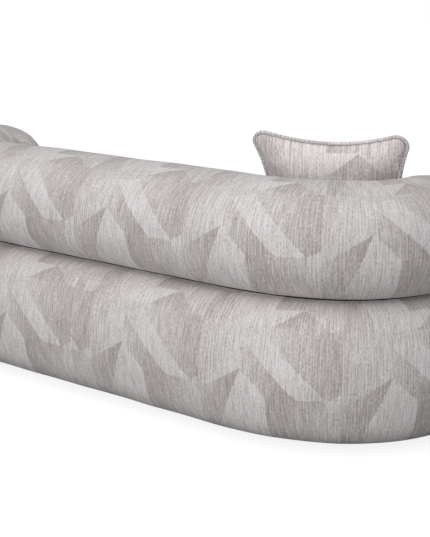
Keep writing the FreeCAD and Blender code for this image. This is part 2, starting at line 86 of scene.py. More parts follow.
# Distance at which points merge, and the least move that is divided by
MERGE, LEAST = 2e-6, 1e-9

# Uneven waves: seed, count, shortest and longest wavelength
BASE_SWELL = (11, 7, 0.22, 0.6)
BASE_PUCKER = (12, 4, 0.05, 0.08)
SEAT_SWELL = (21, 7, 0.25, 0.7)
ROLL_SWELL = (31, 8, 0.22, 0.6)
ROLL_PLEAT = (32, 4, 0.032, 0.050)
ROLL_FOLD = (33, 5, 0.05, 0.11)
DOME_SWELL = (34, 6, 0.15, 0.4)
DUST_SWELL = (41, 6, 0.1, 0.3)

# Where gathers lie, as middle and half width: up the section, down from its end, or in turn of the plan
PLEAT_UP, PLEAT_TURN = (0.115, 0.04), (0.34, 0.26)
PUCKER_DROP, PUCKER_TURN = (0.06, 0.05), (0.65, 0.5)
FOLD_DROP, FOLD_TURN = (0.18, 0.12), (1.1, 0.45)
GROOVE_UP = (0.026, 0.016)
FOOT_CALM = (0.02, 0.06)
EDGE_CALM = 0.05

# Level from which a gather's waves are counted, slant of the waves, and share of the full height
PLEAT_LEVEL, PUCKER_LEVEL = 0.6, 0.5
GATHER_SLANT, FOLD_SLANT = 0.3, 0.1
PUCKER_SHARE, FOLD_SHARE = 0.16, 0.22

# Short creases: place along the plan, half length, place up the section, half height, slant
BASE_CREASES = ((-1.041, 0.012, 0.185, 0.03, 0.0),)
ROLL_CREASES = ((-1.052, 0.024, 0.304, 0.009, 0.2), (-0.919, 0.02, 0.45, 0.02, 0.0))

# Lip of the base's cover under the roll, as reach and height from the shoulder, and the near-black painted
# shade that darkens the groove over it
LIP_DEPTH = 0.027
LIP = ((-0.0002, 0.0004), (-LIP_DEPTH, 0.0004), (-LIP_DEPTH, 0.0001), (-0.001, 0.0001))
PAINTED_GROOVE_SHADE = (0.012, 0.011, 0.011, 1.0)

# Lay of the cloth: the reach it is measured at, the seam past the crest, the run over hidden closing
# strips, the inner line's setback and the front's slant; and the crowding of stations on the bends
CLOTH_REACH = -0.03
SEAM_PAST_CREST = 0.17
WALL_CLOSE, FLAT_CLOSE = 0.07, 0.01
INNER_SETBACK = 0.15
FRONT_SLANT = 0.35
STATION_EASE = 0.06
DOME_CORE = 0.03
SEAT_PRESS = 0.0015

# Cushion: gap at the seam, step of the outline, turn of the last ring, start of the cloth, height and
# pitch of the cord's twist; voxel, free band, held share and stiffness of the simulation
SEAM_GAP = 0.0003
OUTLINE_STEP = 0.002
POLE_TURN = 88.0
CLOTH_START = (0.21, 0.30)
TWIST_HEIGHT, TWIST_PITCH = 0.0002, 0.011
VOXEL = 0.005
FREE_BAND, HELD_SHARE = 0.06, 0.25
TENSION, BENDING = 20.0, 0.4

# Dust cloth: band over which it sags, depth of the sag and the ripple, and its lie under the ring
DUST_BAND, DUST_SAG, DUST_RIPPLE, DUST_LIE = 0.2, 0.004, 0.0006, 0.0004

# Lamps as place, aim and size; half the floor, its colour and glow to the camera; the camera's film
KEY_LAMP = ((-1.6, 4.9, 1.8), (-0.1, 0.3, 0.4), 3.4)
TOP_LAMP = ((-0.3, 1.7, 3.5), (0.0, 0.0, 0.4), 3.5)
FLOOR_HALF = 20.0
FLOOR_SEEN, FLOOR_GLOW = (0.3, 0.3, 0.3, 1.0), 0.85
FILM = 36.0

# Sockets of a Mix node for each kind of data: factor, first, second and result
MIX_SOCKETS = {"FLOAT": (0, 2, 3, 0), "RGBA": (0, 6, 7, 2)}

# Weave: scale and detail of its noises, the rib's scale and wander, the figures' ragged edge and
# sharpness, the ground's tone, middle and weight of the wear, the range of tone, thread weights
STREAK, SLUB, PATCH = ((170.0, 15.0, 1.0), 2.0), ((330.0, 110.0, 1.0), 1.0), ((40.0, 7.0, 1.0), 1.0)
RIB_SCALE, RIB_WANDER = (35.0, 4.0, 1.0), 3.5
RAGGED, SHARPNESS = (0.010, 0.006), 130.0
GROUND_TONE = ((0.30, -0.30), 0.34)
WEAR = ((0.5, 1.8), (0.5, 1.5), (0.5, 0.35), (0.25, 0.6))
TONE_LOW, TONE_HIGH = -0.9, 1.75
THREAD = (0.7, 0.25, 0.5)

# Surfaces: strength and distance of the bumps, detail of the grain, the cloth's shader and lift, and
# the finishes as stretch of the grain, pale and deep colour, roughness and metallic
CLOTH_BUMP, GRAIN_BUMP = (0.55, 0.0012), (0.4, 0.0004)
GRAIN_DETAIL = 5.0
CLOTH_SHADER = {"Roughness": 0.93, "Sheen Weight": 0.12, "Sheen Roughness": 0.6, "Specular IOR Level": 0.2}
FLOOR_ROUGHNESS = 0.8
CLOTH_LIFT = {"upholstery cloth": 1.0, "cushion cloth": 1.16}
FINISHES = {
    "frame timber": ((6.0, 70.0, 70.0), (0.55, 0.38, 0.21), (0.36, 0.22, 0.11), 0.7, 0.0),
    "strap webbing": ((300.0, 300.0, 40.0), (0.10, 0.08, 0.065), (0.05, 0.04, 0.03), 0.85, 0.0),
    "underside cloth": ((420.0, 420.0, 420.0), (0.018, 0.018, 0.018), (0.007, 0.007, 0.007), 0.95, 0.0),
    "moulded foot": ((900.0, 900.0, 900.0), (0.02, 0.02, 0.02), (0.012, 0.012, 0.012), 0.5, 0.0),
    "plated screw": ((500.0, 500.0, 60.0), (0.62, 0.62, 0.60), (0.45, 0.45, 0.44), 0.38, 1.0),
}

# Woven figures in one repeat of the cloth: corners as shares of the repeat, walked
# anticlockwise, and the depth of tone at the left, right, bottom and top of the figure.
FIGURES = (
    (((0.09, 0.16), (0.50, 0.14), (0.50, 0.52), (0.09, 0.54)), (0.05, 1.25, 0.25, 0.75)),
    (((0.50, 0.14), (0.77, 0.02), (0.86, 0.28), (0.68, 0.70), (0.50, 0.52)), (-0.15, 0.25, 0.30, -0.15)),
    (((0.86, 0.26), (1.06, 0.46), (0.68, 0.70)), (1.30, 0.10, 0.60, 0.70)),
    (((0.09, 0.54), (0.30, 0.53), (0.68, 0.90), (0.52, 0.96)), (-0.15, 0.15, 0.10, -0.10)),
    (((0.30, 0.53), (0.50, 0.52), (0.68, 0.70), (0.68, 0.90)), (1.30, 0.05, 0.60, 0.60)),
    (((0.00, -0.06), (0.57, -0.06), (0.28, 0.15)), (0.50, 0.75, 0.30, 1.20)),
    (((0.28, 0.15), (0.57, -0.06), (0.72, -0.06), (0.77, 0.02), (0.50, 0.14)), (-0.10, 0.20, 0.20, -0.10)),
    (((0.72, -0.06), (1.06, -0.06), (1.06, 0.20), (0.86, 0.28), (0.77, 0.02)), (0.10, 1.20, 0.40, 0.60)),
    (((-0.06, 0.62), (0.09, 0.54), (0.52, 0.96), (0.40, 1.06), (-0.06, 1.06)), (1.20, -0.05, 0.60, 0.50)),
    (((0.68, 0.90), (0.68, 0.70), (1.06, 0.46), (1.06, 1.06), (0.77, 1.06)), (-0.10, 0.75, 0.05, 0.40)),
)


# Sizes and looks that a user would change

def length(name, description, default):
    """A length property in metres."""
    return bpy.props.FloatProperty(
        name=name, description=description, default=default, unit="LENGTH", precision=4)


def angle(name, description, degrees):
    """An angle property, given here in degrees."""
    return bpy.props.FloatProperty(
        name=name, description=description, default=np.radians(degrees), subtype="ANGLE")


def plain(name, description, default):
    """A bare number property."""
    return bpy.props.FloatProperty(name=name, description=description, default=default, precision=4)


def colour(name, description, default):
    """A colour property."""
    return bpy.props.FloatVectorProperty(
        name=name, description=description, default=default, subtype="COLOR", min=0.0, max=1.0)


class SofaSizes(bpy.types.PropertyGroup):
    """Plan of the sofa and the sections of its base and back roll"""

    overall_length: length("Length", "Length of the base", BASE_HIGH.x - BASE_LOW.x)
    overall_depth: length("Depth", "Depth of the base from back to front", BASE_HIGH.y - BASE_LOW.y)
    ease_radius: length("Ease radius", "Radius where the straight back starts to bend", 1.03)
    ease_angle: angle("Ease angle", "Turn taken by the gentle bend", 16.0)
    floor_gap: length("Floor gap", "Height of the base's underside", BASE_LOW.z)
    base_height: length("Base height", "Height of the padded base at its edge", 0.411)
    side_radius: length("Side radius", "Radius of the base's bulged side", 0.4)
    edge_radius: length("Edge radius", "Radius of the base's rounded edges", 0.11)
    crown_radius: length("Crown radius", "Radius of the seat's gentle crown", 2.0)
    crown_rise: length("Crown rise", "Rise of the seat above the base's edge", 0.012)
    shoulder_lap: length("Shoulder lap", "Part of the side cover that laps on to the seat", 0.0235)
    roll_inset: length("Roll inset", "Setback of the roll from the base's widest line", 0.026)
    roll_width: length("Roll width", "Thickness of the back roll", 0.368)
    roll_flank: length("Roll flank", "Straight part of the roll's side", 0.032)
    roll_top_radius: length("Top radius", "Radius of the roll's top", 0.215)
    roll_side_radius: length("Side rounding", "Radius where the roll's top meets its side", 0.14)
    roll_foot_radius: length("Foot rounding", "Radius under the roll", 0.14)
    contact_gap: length("Contact gap", "Gap between the roll and the base under it", 0.0003)


class UpholsteryLook(bpy.types.PropertyGroup):
    """Colours, repeat and softness of the woven cover"""

    ground: colour("Ground", "Pale yarn of the ground", (0.78, 0.745, 0.75))
    figure: colour("Figure", "Taupe yarn of the woven figures", (0.34, 0.30, 0.29))
    repeat_across: length("Repeat across", "Width of one repeat of the figures", 0.44)
    repeat_along: length("Repeat along", "Height of one repeat of the figures", 0.42)
    softness: length("Softness", "Height of the slow swells of the padding", 0.0016)
    groove_depth: length("Groove depth", "Depth of the tuck along the roll's outer foot", 0.005)
    gathers: length("Gathers", "Height of the small gathers beside the groove", 0.010)
    crease: length("Crease", "Depth of the short creases in the cover", 0.0035)
    seam_depth: length("Seam depth", "How far a sewn seam sinks in", 0.0026)
    seam_width: length("Seam width", "Half width of the hollow along a seam", 0.005)
    mesh_step: length("Mesh step", "Spacing of the surface's points across the padding", 0.0085)


class CushionLook(bpy.types.PropertyGroup):
    """Size and place of the scatter cushion"""

    size: length("Size", "Width and height over the piping", 0.474)
    draw: length("Draw", "How far each side bows in between the corners", 0.032)
    ear_radius: length("Corner radius", "Radius of the rounded corners", 0.028)
    thickness: length("Thickness", "Thickness at the crown", 0.145)
    edge_thickness: length("Edge thickness", "Thickness at the seam", 0.009)
    fullness: plain("Fullness", "Power of the rise from the seam to the crown", 1.5)
    piping_radius: length("Piping radius", "Radius of the covered cord", 0.005)
    yaw: angle("Yaw", "Turn of the cushion about the upright", 23.5)
    lean: angle("Lean", "How far the cushion leans back", 27.0)
    bearing: angle("Bearing", "Direction from the arm's end to the cushion's edge", -38.0)
    gap: length("Gap", "Room between the arm's end and the cushion's edge", 0.026)
    settle: length("Settle", "How far the rounded corners let the cushion down", 0.0011)
    pressure: plain("Pressure", "Air pressure of the filling in the cloth simulation", 4.0)
    swell: length("Swell", "Furthest that the simulation may move a point", 0.014)


class StudioLook(bpy.types.PropertyGroup):
    """Camera, lamps and floor"""

    camera_place: bpy.props.FloatVectorProperty(
        name="Camera", description="Place of the camera", default=(-2.8284, 3.2391, 1.3659),
        subtype="TRANSLATION")
    camera_aim: bpy.props.FloatVectorProperty(
        name="Aim", description="Direction that the camera looks in", default=(0.62090, -0.74877, -0.23202),
        subtype="DIRECTION")
    lens: plain("Lens", "Focal length on a 36 mm long side", 86.93)
    key_light: plain("Key light", "Power of the soft lamp before the back, in watts", 112.0)
    top_light: plain("Top light", "Power of the wide lamp overhead, in watts", 30.0)
    surround: plain("Surround", "Strength of the light from all round", 0.5)
    floor: colour("Floor", "Colour of the floor", (0.22, 0.22, 0.22))


# Plan and sections, worked out with the same formulas as the solids

def outline_of(sizes):
    """Plan radii, centres and the section's arcs, each (centre reach, centre height, radius, start, end)."""
    g = SimpleNamespace()
    g.turn = sizes.ease_angle
    g.ease = sizes.ease_radius
    g.half_depth = sizes.overall_depth / 2.0
    g.end = (g.half_depth - g.ease * (1.0 - np.cos(g.turn))) / np.cos(g.turn)
    g.straight = sizes.overall_length / 2.0 - g.ease * np.sin(g.turn) - g.end * (1.0 - np.sin(g.turn))
    g.end_x = g.straight + (g.ease - g.end) * np.sin(g.turn)
    g.ease_y = g.half_depth - g.ease

    side, edge, crown = sizes.side_radius, sizes.edge_radius, sizes.crown_radius
    belly = sizes.floor_gap + sizes.base_height / 2.0
    rise = sizes.base_height / 2.0 - edge
    edge_reach = np.sqrt((side - edge) ** 2 - rise ** 2) - side
    side_turn = np.degrees(np.arcsin(rise / (side - edge)))
    crown_turn = np.degrees(np.arccos(1.0 - sizes.crown_rise / (crown - edge)))
    g.crown_reach = edge_reach - (crown - edge) * np.sin(np.radians(crown_turn))
    g.crown_height = sizes.floor_gap + sizes.base_height + sizes.crown_rise
    g.crown = crown
    g.shoulder = edge_reach + edge * np.sin(np.radians(crown_turn)) - sizes.shoulder_lap
    shoulder_turn = np.degrees(np.arccos((g.shoulder - g.crown_reach) / crown))
    g.base_arcs = (
        (edge_reach, belly - rise, edge, -90.0, -side_turn),
        (-side, belly, side, -side_turn, side_turn),
        (edge_reach, belly + rise, edge, side_turn, 90.0 - crown_turn),
        (g.crown_reach, g.crown_height - crown, crown, 90.0 - crown_turn, shoulder_turn),
    )

    half = sizes.roll_width / 2.0
    g.roll_half = half
    g.roll_reach = -(sizes.roll_inset + half)
    g.roll_base = g.crown_height - crown * (1.0 - np.sin(np.radians(shoulder_turn))) + sizes.contact_gap
    foot, round_side, top = sizes.roll_foot_radius, sizes.roll_side_radius, sizes.roll_top_radius
    g.roll_flat = half - foot
    g.roll_foot = foot
    shift = half - round_side
    flank_top = g.roll_base + foot + sizes.roll_flank
    blend = np.degrees(np.arccos(shift / (top - round_side)))
    top_height = flank_top - np.sqrt((top - round_side) ** 2 - shift ** 2)
    g.belt = g.roll_base + foot + sizes.roll_flank / 2.0
    g.roll_arcs = (
        (g.roll_flat, g.roll_base + foot, foot, -90.0, 0.0),
        (shift, flank_top, round_side, 0.0, blend),
        (0.0, top_height, top, blend, 180.0 - blend),
        (-shift, flank_top, round_side, 180.0 - blend, 180.0),
        (-g.roll_flat, g.roll_base + foot, foot, 180.0, 270.0),
    )
    g.arm_x = g.end_x + g.end + g.roll_reach
    return g


def run_of(line):
    """Length walked along a line up to each of its points."""
    return np.concatenate([[0.0], np.cumsum(np.hypot(*np.diff(line, axis=0).T))])


def cut(line, run, stops):
    """Points of a line at given lengths along it."""
    return np.stack([np.interp(stops, run, line[:, 0]), np.interp(stops, run, line[:, 1])], axis=1)


def right_of(ahead):
    """Unit vectors to the right of a walk's steps."""
    ahead = ahead / np.hypot(ahead[:, 0], ahead[:, 1])[:, None]
    return np.stack([ahead[:, 1], -ahead[:, 0]], axis=1)


def chain(arcs, step):
    """Evenly spaced points along tangent arcs: each arc is centre plus radius times (cosine, sine),
    the arcs are strung together, and the string is cut again by its own length."""
    bends = []
    for reach, height, radius, start, end in arcs:
        turn = np.radians(np.linspace(start, end, ARC_POINTS))
        bends.append(np.stack([reach + radius * np.cos(turn), height + radius * np.sin(turn)], axis=1))
    string = np.concatenate(bends)
    run = run_of(string)
    stops = np.linspace(0.0, run[-1], int(round(run[-1] / step)) + 1)
    spots = cut(string, run, stops)
    return spots, right_of(np.gradient(spots, axis=0)), stops


def quarter_length(g, reach):
    """Length of a quarter of the plan at a reach: straight, gentle bend and end bend."""
    return g.straight + (g.ease + reach) * g.turn + (g.end + reach) * (np.pi / 2.0 - g.turn)


def stations(g, along, reach):
    """Bend centre, radius and turn at distances along a quarter of the plan, measured at a reach.
    On the straight the centre slides, so that a point is always centre plus radius and reach, turned."""
    first = g.straight
    second = first + (g.ease + reach) * g.turn
    on_end = along >= second
    turn = np.where(on_end, g.turn + (along - second) / (g.end + reach), (along - first) / (g.ease + reach))
    turn = np.maximum(turn, 0.0)
    centre_x = np.where(on_end, g.end_x, np.minimum(along, first))
    centre_y = np.where(on_end, 0.0, g.ease_y)
    return centre_x, centre_y, np.where(on_end, g.end, g.ease), turn


def swept(bends, flip_x, flip_y, spots, normals, lift):
    """Section points pushed out by a lift and stood at every station: x and y are the bend's centre plus
    (radius + reach) times (sine, cosine) of the turn, mirrored by the flips, and z is the section's
    height."""
    centre_x, centre_y, radius, turn = (part[:, None] for part in bends)
    reach = spots[None, :, 0] + normals[None, :, 0] * lift
    height = spots[None, :, 1] + normals[None, :, 1] * lift
    x = flip_x[:, None] * (centre_x + (radius + reach) * np.sin(turn))
    y = flip_y[:, None] * (centre_y + (radius + reach) * np.cos(turn))
    return np.stack([x, y, height], axis=2)


def reach_of(g, x, y):
    """How far a point of the plan lies outside the base's widest line: the distance from the centre of
    the bend that rules there, less its radius."""
    x, y = np.abs(x), np.abs(y)
    turn = np.arctan2(x - g.straight, y - g.ease_y)
    gentle = np.hypot(x - g.straight, y - g.ease_y) - g.ease
    tight = np.hypot(x - g.end_x, y) - g.end
    return np.where(x <= g.straight, y - g.half_depth, np.where(turn < g.turn, gentle, tight))


def half_width(g, y, reach):
    """Half the plan's width at each y, found by walking the quarter at that reach."""
    along = np.linspace(0.0, quarter_length(g, reach), WALK_POINTS)
    centre_x, centre_y, radius, turn = stations(g, along, reach)
    line_x = centre_x + (radius + reach) * np.sin(turn)
    line_y = centre_y + (radius + reach) * np.cos(turn)
    keep = along >= g.straight
    return np.interp(np.abs(y), line_y[keep][::-1], line_x[keep][::-1])


def swells(seed, count, shortest, longest, *ways):
    """Uneven waves: the sum of sines over the square root of their count, with wavelengths, directions and
    starts drawn from a seed."""
    draw = np.random.RandomState(seed)
    total = 0.0
    for _ in range(count):
        pull = [draw.uniform(-1.0, 1.0) for _ in ways]
        size = 2.0 * np.pi / (draw.uniform(shortest, longest) * np.linalg.norm(pull))
        along = sum(p * way for p, way in zip(pull, ways))
        total = total + np.sin(size * along + draw.uniform(0.0, 2.0 * np.pi))
    return total / np.sqrt(count)


def bump_at(value, middle, width):
    """Bell curve about a middle."""
    return np.exp(-((value - middle) / width) ** 2)


def creases(far, up, marks):
    """Sum of short hollows, each a bell along the plan times a bell across a slanted line."""
    return sum(
        bump_at(far, middle, half) * bump_at(up - slant * (far - middle), height, width)
        for middle, half, height, width, slant in marks)


# Meshes

def quads_of(rows, columns, around=False):
    """Corner indices of a grid's faces, the last column joined to the first where it goes around."""
    index = np.arange(rows * columns).reshape(rows, columns)
    if around:
        index = np.concatenate([index, index[:, :1]], axis=1)
    return np.stack([index[:-1, :-1], index[:-1, 1:], index[1:, 1:], index[1:, :-1]], axis=2).reshape(-1, 4)


def corners_of(values):
    """Values of a grid at the four corners of each face, in the order of quads_of."""
    return np.stack([values[:-1, :-1], values[:-1, 1:], values[1:, 1:], values[1:, :-1]], axis=2)


def grid_of(long_way, up_way):
    """Places of a grid from its two ways."""
    return np.stack(np.meshgrid(long_way, up_way, indexing="ij"), axis=2)


def plan_grid(g, rows, columns, depth, reach):
    """Rows across the plan at a reach, each from side to side, over a half depth."""
    y = np.linspace(-1.0, 1.0, rows) * depth
    x = np.linspace(-1.0, 1.0, columns)[None, :] * half_width(g, y, reach)[:, None]
    return x, y[:, None] + 0.0 * x


def points_of(mesh):
    """A mesh's points as an array."""
    spots = np.empty(len(mesh.vertices) * 3, np.float32)
    mesh.vertices.foreach_get("co", spots)
    return spots.reshape(-1, 3)


def set_points(mesh, points):
    """Move a mesh's points."""
    mesh.vertices.foreach_set("co", points.astype(np.float32).reshape(-1))
    mesh.update()


def set_cloth(mesh, cloth):
    """Lay cloth places on a mesh at its faces' corners, and smooth its faces."""
    mesh.uv_layers.new(name="cloth").data.foreach_set("uv", cloth.astype(np.float32).reshape(-1))
    mesh.polygons.foreach_set("use_smooth", np.ones(len(mesh.polygons), bool))


def mend(mesh, close=False):
    """Merge a mesh's doubles, or close its open ends, and turn its faces outwards."""
    work = bmesh.new()
    work.from_mesh(mesh)
    if close:
        bmesh.ops.holes_fill(work, edges=[edge for edge in work.edges if edge.is_boundary], sides=0)
    else:
        bmesh.ops.remove_doubles(work, verts=work.verts, dist=MERGE)
    bmesh.ops.recalc_face_normals(work, faces=work.faces)
    work.to_mesh(mesh)
    work.free()


def make_piece(name, points, quads, cloth, finish, tuck=None):
    """A smooth mesh object from arrays of points, faces and cloth places at the faces' corners, with the
    points that get painted groove shade marked where there are any."""
    mesh = bpy.data.meshes.new(name)
    mesh.from_pydata(points.reshape(-1, 3), [], quads)
    if cloth is not None:
        set_cloth(mesh, cloth)
    if tuck is not None:
        # Points marked here are painted near black in the cloth's material: painted shade in the groove under
        # the roll
        marks = mesh.attributes.new("tuck", "FLOAT", "POINT").data
        marks.foreach_set("value", tuck.reshape(-1).astype(np.float32))
    mend(mesh)
    mesh.materials.append(materials()[finish])
    piece = bpy.data.objects.new(name, mesh)
    bpy.context.scene.collection.objects.link(piece)
    return piece


# Materials

def feed(tree, socket, value):
    """Link a socket to another, or give it a plain value."""
    if isinstance(value, bpy.types.NodeSocket):
        tree.links.new(value, socket)
    else:
        socket.default_value = value


def add_node(tree, kind, settings=None, **inputs):
    """A node with settings and inputs by name, underscores standing for spaces."""
    node = tree.nodes.new(kind)
    for key, value in (settings or {}).items():
        setattr(node, key, value)
    for key, value in inputs.items():
        feed(tree, node.inputs[key.replace("_", " ")], value)
    return node


def reckon(tree, operation, *values, **settings):
    """Result of a math node."""
    return vector_math(tree, operation, *values, kind="ShaderNodeMath", **settings)[0]


def vector_math(tree, operation, *values, kind="ShaderNodeVectorMath", **settings):
    """Results of a vector math node, or of another kind of math node."""
    node = add_node(tree, kind, {"operation": operation, **settings})
    for socket, value in zip(node.inputs, values):
        feed(tree, socket, value)
    return node.outputs


def blend(tree, kind, factor, first, second):
    """Number or colour between two by a factor."""
    node = add_node(tree, "ShaderNodeMix", {"data_type": kind})
    *places, result = MIX_SOCKETS[kind]
    for place, value in zip(places, (factor, first, second)):
        feed(tree, node.inputs[place], value)
    return node.outputs[result]


def slope(tree, vector, way, start):
    """Distance of a point along a direction, plus a start."""
    return reckon(tree, "ADD", vector_math(tree, "DOT_PRODUCT", vector, (*way, 0.0))["Value"], start)


def speckle(tree, vector, scale, detail):
    """Noise over a scaled vector."""
    node = add_node(tree, "ShaderNodeTexNoise", {"noise_dimensions": "2D"}, Scale=1.0, Detail=detail)
    feed(tree, node.inputs["Vector"], vector_math(tree, "MULTIPLY", vector, scale)[0])
    return node.outputs[0]


def new_group(name, inputs, outputs):
    """An empty shader node group with named sockets, each (name, kind)."""
    tree = bpy.data.node_groups.new(name, "ShaderNodeTree")
    for label, kind in inputs:
        tree.interface.new_socket(label, in_out="INPUT", socket_type=kind)
    for label, kind in outputs:
        tree.interface.new_socket(label, in_out="OUTPUT", socket_type=kind)
    return tree, tree.nodes.new("NodeGroupInput"), tree.nodes.new("NodeGroupOutput")


def figure_mask(tree, place, corners, ragged):
    """Inside of a figure with straight sides: the least of its distances in from each side, made ragged."""
    inside = None
    for (x0, y0), (x1, y1) in zip(corners, corners[1:] + corners[:1]):
        size = float(np.hypot(x1 - x0, y1 - y0))
        way = ((y0 - y1) / size, (x1 - x0) / size)
        far = slope(tree, place, way, -(way[0] * x0 + way[1] * y0))
        inside = far if inside is None else reckon(tree, "MINIMUM", inside, far)
    return reckon(tree, "MULTIPLY", reckon(tree, "ADD", inside, ragged), SHARPNESS, use_clamp=True)


def figure_tone(tree, place, corners, tones):
    """Depth of tone of a figure, running evenly from left to right and from bottom to top."""
    left, right = min(x for x, _ in corners), max(x for x, _ in corners)
    low, high = min(y for _, y in corners), max(y for _, y in corners)
    across = (tones[1] - tones[0]) / (right - left) / 2.0
    up = (tones[3] - tones[2]) / (high - low) / 2.0
    start = (tones[0] + tones[2]) / 2.0 - across * left - up * low
    return slope(tree, place, (across, up), start)


def make_strie_group():
    """Streaked weave with geometric figures: each figure's tone thins or thickens dry-brush streaks
    that run along the cloth, over a fine ribbed thread."""
    tree, given, result = new_group(
        "streaked weave",
        [("Cloth", "NodeSocketVector"), ("Repeat", "NodeSocketVector")],
        [("Tone", "NodeSocketFloat"), ("Thread", "NodeSocketFloat")],
    )
    cloth = given.outputs["Cloth"]
    repeats = vector_math(tree, "DIVIDE", cloth, given.outputs["Repeat"])[0]
    place = vector_math(tree, "FRACTION", repeats)[0]
    streak, slub, patch = (speckle(tree, cloth, *kind) for kind in (STREAK, SLUB, PATCH))
    ragged = reckon(tree, "MULTIPLY_ADD", reckon(tree, "SUBTRACT", streak, 0.5), *RAGGED)
    depth = slope(tree, place, *GROUND_TONE)
    for corners, tones in FIGURES:
        mask = figure_mask(tree, place, corners, ragged)
        depth = blend(tree, "FLOAT", mask, depth, figure_tone(tree, place, corners, tones))
    wave = add_node(tree, "ShaderNodeTexWave", {"bands_direction": "X"}, Scale=1.0, Distortion=RIB_WANDER)
    feed(tree, wave.inputs["Vector"], vector_math(tree, "MULTIPLY", cloth, RIB_SCALE)[0])
    rib = wave.outputs["Fac"]
    line = reckon(tree, "MULTIPLY", rib, slub)
    for part, (middle, weight) in zip((streak, slub, patch, line), WEAR):
        depth = reckon(tree, "MULTIPLY_ADD", reckon(tree, "SUBTRACT", part, middle), weight, depth)
    tone = add_node(
        tree, "ShaderNodeMapRange", {"interpolation_type": "SMOOTHSTEP"},
        Value=depth, From_Min=TONE_LOW, From_Max=TONE_HIGH)
    thread = 0.0
    for part, weight in zip((slub, rib, streak), THREAD):
        thread = reckon(tree, "MULTIPLY_ADD", part, weight, thread)
    feed(tree, result.inputs["Tone"], tone.outputs[0])
    feed(tree, result.inputs["Thread"], thread)
    return tree


def make_grain_group():
    """Long grain: noise over stretched places."""
    tree, given, result = new_group(
        "long grain",
        [("Place", "NodeSocketVector"), ("Stretch", "NodeSocketVector")],
        [("Grain", "NodeSocketFloat")],
    )
    stretched = vector_math(tree, "MULTIPLY", given.outputs["Place"], given.outputs["Stretch"])[0]
    noise = add_node(tree, "ShaderNodeTexNoise", None, Scale=1.0, Detail=GRAIN_DETAIL, Vector=stretched)
    feed(tree, result.inputs["Grain"], noise.outputs[0])
    return tree


def new_material(name):
    """The nodes and shader of a new material."""
    material = bpy.data.materials.new(name)
    material.use_nodes = True
    tree = material.node_tree
    return tree, tree.nodes["Principled BSDF"]


def finish_surface(tree, shader, dye, height, strength, distance):
    """Colour from a socket, and a bump from a height."""
    tree.links.new(dye, shader.inputs["Base Color"])
    bump = add_node(tree, "ShaderNodeBump", None, Strength=strength, Distance=distance, Height=height)
    tree.links.new(bump.outputs["Normal"], shader.inputs["Normal"])


def woven_material(name, look, group, lift):
    """Streaked cloth in the two yarns, both lifted a little for a lighter piece, with painted shade, near
    black, where the tuck marks the groove under the roll."""
    tree, shader = new_material(name)
    cloth = add_node(tree, "ShaderNodeUVMap", {"uv_map": "cloth"}).outputs[0]
    repeat = (look.repeat_across, look.repeat_along, 1.0)
    weave = add_node(tree, "ShaderNodeGroup", {"node_tree": group}, Cloth=cloth, Repeat=repeat)
    pale, deep = ((*(part * lift for part in yarn), 1.0) for yarn in (look.ground, look.figure))
    dye = blend(tree, "RGBA", weave.outputs["Tone"], pale, deep)
    # Painted shade: the colour goes near black where the tuck attribute marks the groove under the roll
    tuck = add_node(tree, "ShaderNodeAttribute", {"attribute_name": "tuck"}).outputs["Fac"]
    dye = blend(tree, "RGBA", tuck, dye, PAINTED_GROOVE_SHADE)
    finish_surface(tree, shader, dye, weave.outputs["Thread"], *CLOTH_BUMP)
    for socket, value in CLOTH_SHADER.items():
        shader.inputs[socket].default_value = value


def grained_material(name, group, stretch, pale, deep, roughness, metallic):
    """A finish whose colour and bump follow a stretched grain."""
    tree, shader = new_material(name)
    place = add_node(tree, "ShaderNodeTexCoord").outputs["Object"]
    node = add_node(tree, "ShaderNodeGroup", {"node_tree": group}, Place=place, Stretch=stretch)
    grain = node.outputs["Grain"]
    dye = blend(tree, "RGBA", grain, (*pale, 1.0), (*deep, 1.0))
    finish_surface(tree, shader, dye, grain, *GRAIN_BUMP)
    shader.inputs["Roughness"].default_value = roughness
    shader.inputs["Metallic"].default_value = metallic


def materials():
    """The finishes by name, made once."""
    if "upholstery cloth" not in bpy.data.materials:
        weave, grain = make_strie_group(), make_grain_group()
        for name, lift in CLOTH_LIFT.items():
            woven_material(name, bpy.context.scene.sofa_upholstery, weave, lift)
        for name, values in FINISHES.items():
            grained_material(name, grain, *values)
    return bpy.data.materials


# Pieces

def ring_of(g, count, reach):
    """Stations all round the base at even distances: a quarter is folded out four times by mirroring."""
    quarter = quarter_length(g, reach)
    run = np.linspace(0.0, 4.0 * quarter, count, endpoint=False)
    flip_x = np.where(run < 2.0 * quarter, 1.0, -1.0)
    flip_y = np.where((run < quarter) | (run > 3.0 * quarter), 1.0, -1.0)
    along = quarter - np.abs(quarter - run % (2.0 * quarter))
    return stations(g, along, reach), flip_x, flip_y, run, 4.0 * quarter


